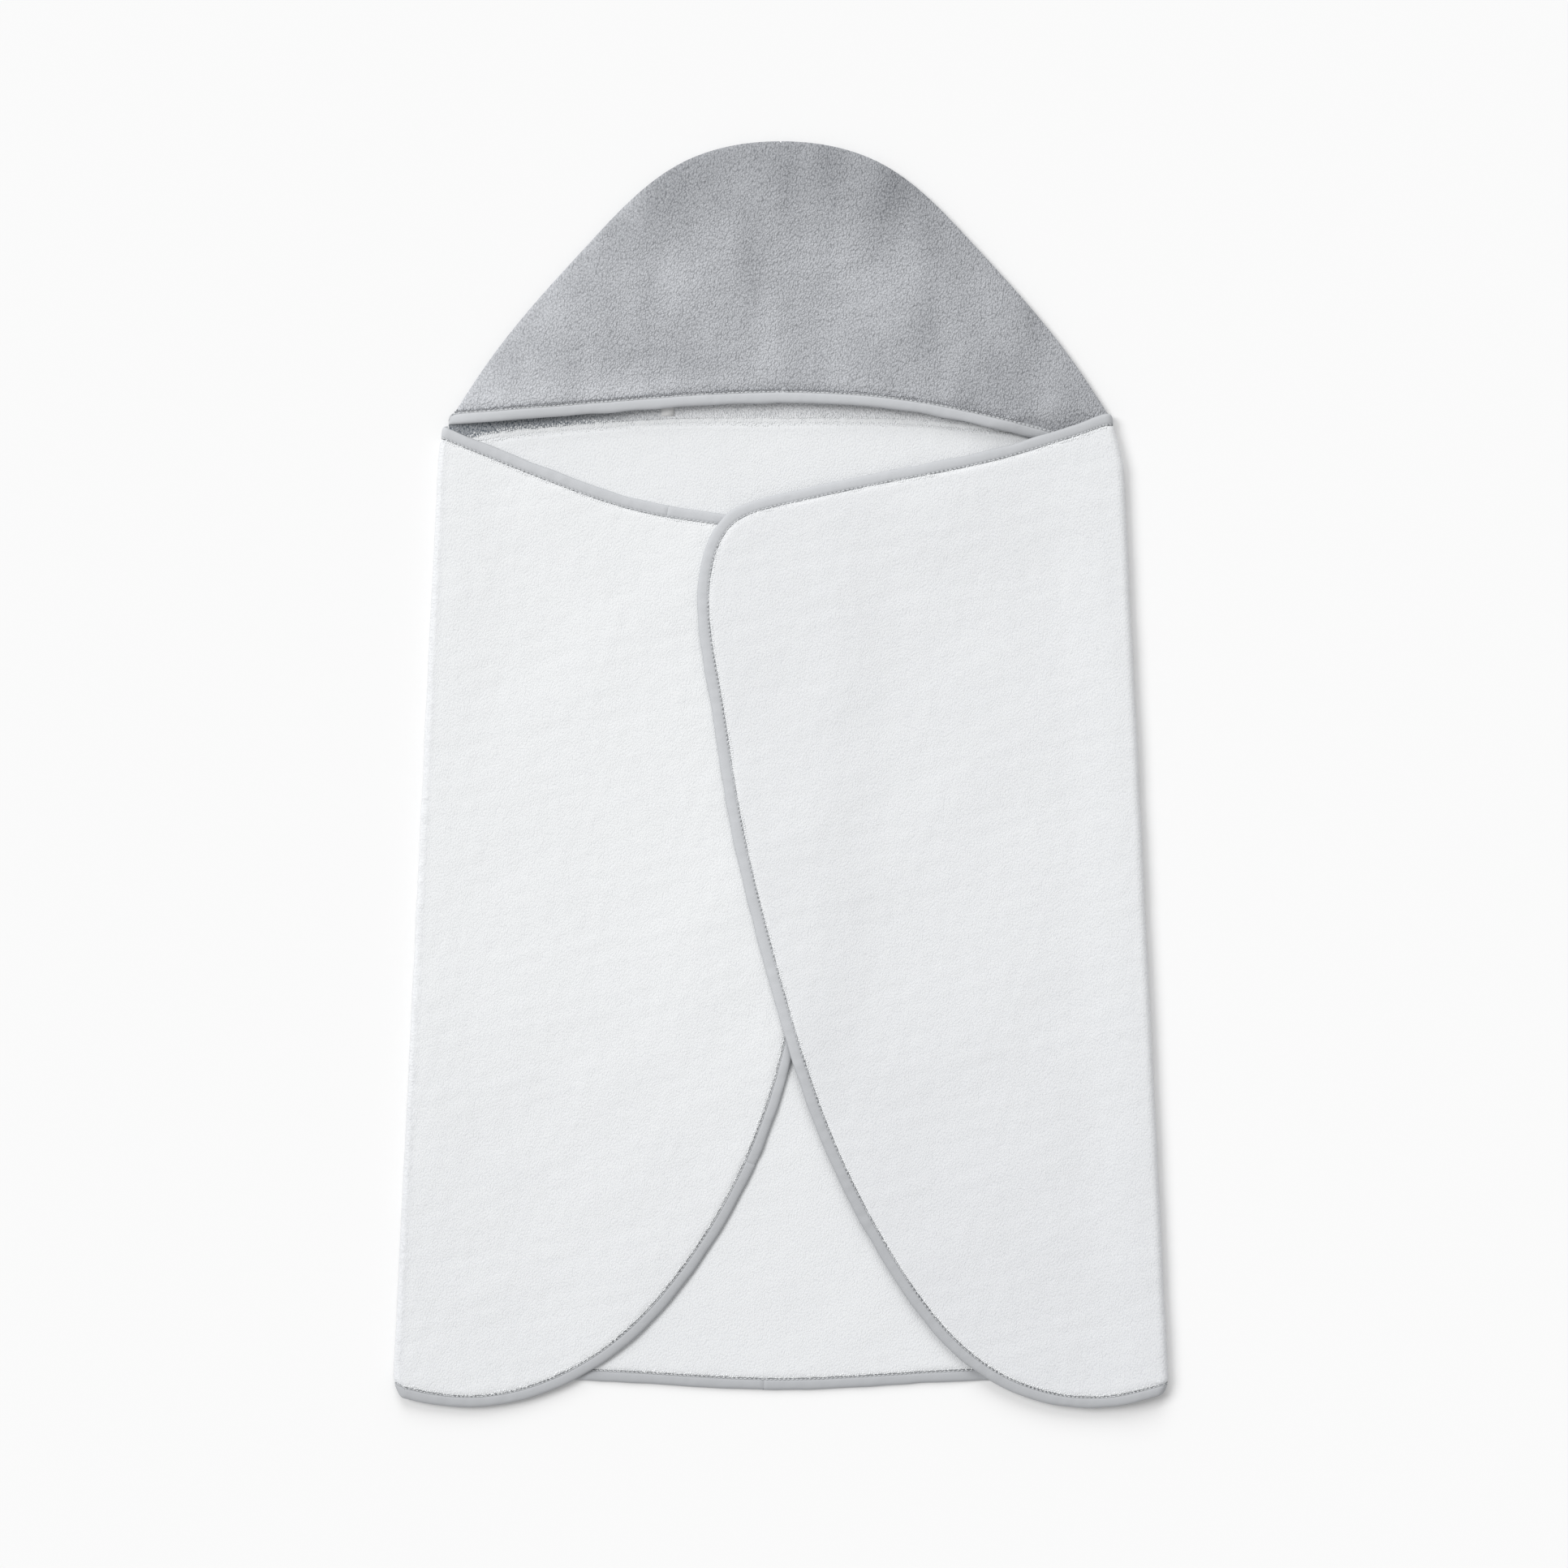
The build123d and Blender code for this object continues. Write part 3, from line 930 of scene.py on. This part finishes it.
def hood_half_outline(towel, side, mouth):
    """Half of the hood's front layer, on one side of its middle line."""
    half_mouth = between(mouth, *sorted((0, side * HOOD_CORNER_X)))
    dome = towel.dome[side * towel.dome[:, 0] >= 0]
    dome = dome[np.argsort(dome[:, 1])]
    dome[-1] = (0, dome[-1, 1])
    rim = np.interp(side * half_mouth[:, 0], side * dome[::-1, 0], dome[::-1, 1])
    half_mouth = half_mouth[half_mouth[:, 1] < rim - CLEAR_OF_DOME]
    if half_mouth[0, 0] != 0:
        half_mouth = half_mouth[::-1]
    middle = evenly(np.array([dome[-1], half_mouth[0]]), 2.2)[1:-1]
    outline = np.vstack([half_mouth, dome, middle])
    if side == LEFT:
        outline = outline[::-1]
    return outline


def round_edge(seam, radius=2.4):
    """Half the thickness of terry that is turned in at a seam: round over at the edge."""

    def half(flat):
        near = np.clip(distance(flat, seam) / radius, 0, 1)
        return SEAM_HALF + (CLOTH / 2 - SEAM_HALF) * np.sqrt(1 - (1 - near) ** 2)

    return half


def fold_with(piece):
    """Bakes the piece's transform into its mesh."""
    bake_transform(piece)


DOME_FLANK = np.array([(222.0, 234.0), (100.0, 380.0)])  # a line along the right flank of the dome


def lift_with_hood(piece):
    """Works out which way is inward from the flank of the dome, and bakes the piece's transform into its
    mesh.
    """
    low, high = DOME_FLANK
    flank = (high - low) / np.linalg.norm(high - low)
    inward = np.array([-flank[1], flank[0]])
    if inward[0] > 0:
        inward = -inward
    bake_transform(piece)


def cut_at(path, crosses):
    """The first part and the rest of a path, cut where crosses first turns true, with a little overlap."""
    index = int(np.argmax(crosses(path)))
    return path[: index + 1 + OVERLAP_POINTS], path[index:]


def build_left_front(towel, materials):
    """The left front, its three lengths of tape and its stitches."""
    front, edge = towel.left, towel.left_edge
    shape, outline = front_shape(front, edge, 11)
    nodes = ("left_front_panel", "left_front_tucked_panel", "left_fold")
    cloth = add_piece("left_front_cloth", shape, materials, "body_terry", nodes)
    curve, rest = cut_at(edge, lambda p: (p[:, 1] > LEFT_CURVE_JOIN_Y) & (p[:, 0] > -100))
    corner, neck = cut_at(rest, lambda p: (p[:, 0] < LEFT_NECK_JOIN_X) & (p[:, 1] > 0))
    lengths_of_tape = {
        "left_curve_tape": (curve, ("left_curve_binding", "left_fold_hem_binding"), 21),
        "left_corner_tape": (corner, ("left_corner_binding",), 22),
        "left_neck_tape": (neck, ("left_neck_binding", "left_shoulder_binding"), 23),
    }
    pieces = [
        add_piece(name, tape_shape(front, path, seed), materials, "binding_tape", nodes)
        for name, (path, nodes, seed) in lengths_of_tape.items()
    ]
    stitches = stitches_along(front, edge, 24)
    pieces.append(add_piece("left_front_stitches", stitches, materials, "thread", ["left_front_topstitch"]))
    for piece in [cloth, *pieces]:
        fold_with(piece)


def build_right_front(towel, materials):
    """The right front, its one length of tape and its stitches."""
    front, edge = towel.right, towel.right_edge
    shape, outline = front_shape(front, edge, 12)
    nodes = ("right_front_panel", "right_fold")
    cloth = add_piece("right_front_cloth", shape, materials, "body_terry", nodes)
    nodes = ("right_front_binding", "right_fold_hem_binding", "right_shoulder_binding")
    tape = add_piece("right_front_tape", tape_shape(front, edge, 25), materials, "binding_tape", nodes)
    stitches = stitches_along(front, edge, 26)
    stitching = add_piece("right_front_stitches", stitches, materials, "thread", ["right_front_topstitch"])
    for piece in (cloth, tape, stitching):
        fold_with(piece)


def build_back(towel, materials):
    """The back panel, and the two lengths of tape and the stitches along its hem."""
    hem, outline = back_outline(towel)
    half = pressed_by(evenly(hem, 4.0))
    shape = terry_sheet(towel.back, outline, 3.6, half, pile(0.8), BESIDE_TAPE, body_painted_shade())
    tufts = tufts_along(towel.back, hem, 13)
    cloth = add_piece("back_cloth", joined([shape, tufts]), materials, "body_terry", ["back_panel"])
    left, right = cut_at(hem, lambda p: p[:, 0] > HEM_JOIN_X)
    pieces = []
    for name, path, node, seed in (
        ("hem_tape_left", left, "hem_binding_left", 27),
        ("hem_tape_right", right, "hem_binding_right", 28),
    ):
        binding = tape_shape(towel.back, path, seed)
        pieces.append(add_piece(name, binding, materials, "binding_tape", [node]))
    stitches = stitches_along(towel.back, hem, 29)
    pieces.append(add_piece("hem_stitches", stitches, materials, "thread", ["hem_topstitch"]))
    for piece in [cloth, *pieces]:
        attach(piece, "back")


OUTSIDE_SHADE = 1.18  # makes the outside of the hood's back layer as grey as the front layer


def build_hood_back(towel, materials):
    """The back layer of the hood, whose light inside shows as a strip below the mouth."""
    neck = between(neck_path(NECK_SEAM_WIDTH / 2), -HOOD_CORNER_X, HOOD_CORNER_X)
    outline = np.vstack([neck, towel.dome])
    half = round_edge(towel.dome_coarse)
    shape = terry_sheet(towel.hood_back, outline, 3.2, half, pile(1.5), (BESIDE_SEAM,), inner_painted_shadow)
    underside = len(shape.points) // 2
    shape.shade[underside:] = OUTSIDE_SHADE
    nodes = ("hood_back_panel", "hood_dome_seam")
    cloth = add_piece("hood_back_cloth", shape, materials, "hood_terry", nodes, look="hood_inside")
    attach(cloth, "back")


def build_hood_front(towel, materials):
    """The front layer of the hood in two halves that meet at its middle, each with its tape and stitches."""
    mouth_full = curve_through(MOUTH)
    shifted = mouth_full + left_normals(mouth_full) * TERRY_INSET
    rounded, pressed = round_edge(towel.dome_coarse), pressed_by(evenly(mouth_full, 4.0), 6.0)
    lay = towel.hood_front

    def half(flat):
        return np.minimum(rounded(flat), pressed(flat))

    for side, name in ((LEFT, "left"), (RIGHT, "right")):
        mouth = between(mouth_full, *sorted((0, side * HOOD_CORNER_X)))
        outline = hood_half_outline(towel, side, shifted)
        shape = terry_sheet(lay, outline, 2.2, half, pile(2.0), (BESIDE_SEAM, *BESIDE_TAPE), hood_painted_light_and_tone)
        shape.sharp = np.nonzero(abs(shape.flat[:, 0]) < 1e-4)[0].tolist()
        terry = joined([shape, tufts_along(lay, mouth, 14 + side, within=towel.dome)])
        cloth = add_piece(f"hood_front_{name}_cloth", terry, materials, "hood_terry", ["hood_front_panel"])
        taper = 7.0 if side == LEFT else 0.0
        binding = tape_shape(lay, mouth, 33, taper, needle=0.55, join=0.0, runs_on=-side)
        tape = add_piece(f"mouth_tape_{name}", binding, materials, "binding_tape", ["hood_mouth_binding"])
        stitches = stitches_along(lay, mouth, 35)
        nodes = ["hood_mouth_topstitch"]
        stitching = add_piece(f"mouth_stitches_{name}", stitches, materials, "thread", nodes)
        for piece in (cloth, tape, stitching):
            lift_with_hood(piece)


ROLL_HALF_WIDTH = 3.2
ROLL_HALF_HEIGHT = 1.5
ROLL_MIDDLE = 1.7  # height of the middle of the roll
FUZZ_HEIGHT = 1.75
FUZZ_ROWS = [(3.0, 52), (1.4, 53), (0.0, 54), (-1.2, 55), (-2.2, 56)]  # place across the roll, and seed


def build_neck(materials):
    """The overlocked seam, a soft flat roll of cloth with fuzz along it."""
    path = evenly(between(neck_path(), -HOOD_CORNER_X, HOOD_CORNER_X), 1.4)
    normals = left_normals(path)
    sides = 8
    turns = np.arange(sides) * 2 * math.pi / sides
    swell = 1 + 0.08 * ripples(np.column_stack([lengths(path), lengths(path)]), 5, 51)
    across = ROLL_HALF_WIDTH * np.cos(turns)[None] * swell[:, None]
    lift = ROLL_HALF_HEIGHT * np.sin(turns)[None] * swell[:, None] + ROLL_MIDDLE
    flat = path[:, None] + normals[:, None] * across[..., None]
    points = np.column_stack([flat.reshape(-1, 2), lift.ravel()])
    faces = [face[::-1] for face in tube_faces(len(path), sides)]
    roll = Shape(points, faces, flat.reshape(-1, 2))
    above = Level(lambda flat: np.full(len(flat), FUZZ_HEIGHT))
    fuzz = [
        tufts_along(above, path - normals * (TAPE_WIDTH + back), seed, size=0.95, stray=1.3)
        for back, seed in FUZZ_ROWS
    ]
    seam = add_piece("neck_seam_roll", joined([roll, *fuzz]), materials, "body_terry", ["neck_seam"])
    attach(seam, "back")


def build_label(materials):
    """A blank satin label that is caught in the neck seam and stands a little off the cloth."""
    low, high = (np.array(corner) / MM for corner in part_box("care_label"))
    thick = 0.35
    off_cloth, bow = 0.4, 0.7
    rows = 9
    points, flat = [], []
    for row in range(rows):
        share = row / (rows - 1)
        y = low[1] + share * (high[1] - low[1])
        z = low[2] + off_cloth + bow * math.sin(math.pi * share)
        for x, lift in ((low[0], 0), (high[0], 0), (high[0], thick), (low[0], thick)):
            points.append((x, y, z + lift))
            flat.append((x, y))
    shape = Shape(np.array(points), tube_faces(rows, 4), np.array(flat))
    label = add_piece("care_label_satin", shape, materials, "label_satin", ["care_label"])
    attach(label, "back")


# ---- Floor, light and camera ----


def make_stage():
    """A matt white floor just under the towel."""
    mesh = bpy.data.meshes.new("floor")
    far, low = 4.0, -2e-4
    corners = [(-far, -far, low), (far, -far, low), (far, far, low), (-far, far, low)]
    mesh.from_pydata(corners, [], [[0, 1, 2, 3]])
    paper = bpy.data.materials.new("floor_paper")
    paper.use_nodes = True
    shader = paper.node_tree.nodes["Principled BSDF"]
    shader.inputs["Base Color"].default_value = colour(239, 239, 239)
    shader.inputs["Roughness"].default_value = 1.0
    shader.inputs["Specular IOR Level"].default_value = 0.0
    mesh.materials.append(paper)
    floor = bpy.data.objects.new("floor", mesh)
    bpy.context.scene.collection.objects.link(floor)


def make_light():
    """A bright even studio, and a large soft light from the upper left."""
    scene = bpy.context.scene
    scene.view_settings.view_transform = "Standard"
    world = bpy.data.worlds.new("studio")
    world.use_nodes = True
    background = world.node_tree.nodes["Background"]
    background.inputs["Color"].default_value = (1, 1, 1, 1)
    background.inputs["Strength"].default_value = 0.525
    scene.world = world
    for name, towards, energy, angle in (
        ("key", (-1.0, 0.5, 1.2), 1.58, 28),
        ("top_light", (-0.15, 1.5, 1.0), 1.25, 34),
    ):
        sun = bpy.data.lights.new(name, "SUN")
        sun.angle = math.radians(angle)
        sun.energy = energy
        light = bpy.data.objects.new(name, sun)
        light.rotation_mode = "QUATERNION"
        light.rotation_quaternion = Vector(towards).to_track_quat("Z", "Y")
        scene.collection.objects.link(light)


def make_camera():
    """Straight above the towel, as far off as an 85 mm lens needs for the frame's width."""
    frame_width, lens, sensor = 1.0433, 85.0, 36.0
    camera = bpy.data.cameras.new("camera")
    camera.lens = lens
    camera.sensor_width = sensor
    camera.clip_end = 50.0
    top_down = bpy.data.objects.new("camera", camera)
    top_down.location = (0.00216, -0.00648, frame_width * lens / sensor)
    bpy.context.scene.collection.objects.link(top_down)
    bpy.context.scene.camera = top_down


towel = Towel()
materials = make_materials()
build_back(towel, materials)
build_neck(materials)
build_label(materials)
build_hood_back(towel, materials)
build_left_front(towel, materials)
build_right_front(towel, materials)
build_hood_front(towel, materials)
make_stage()
make_light()
make_camera()
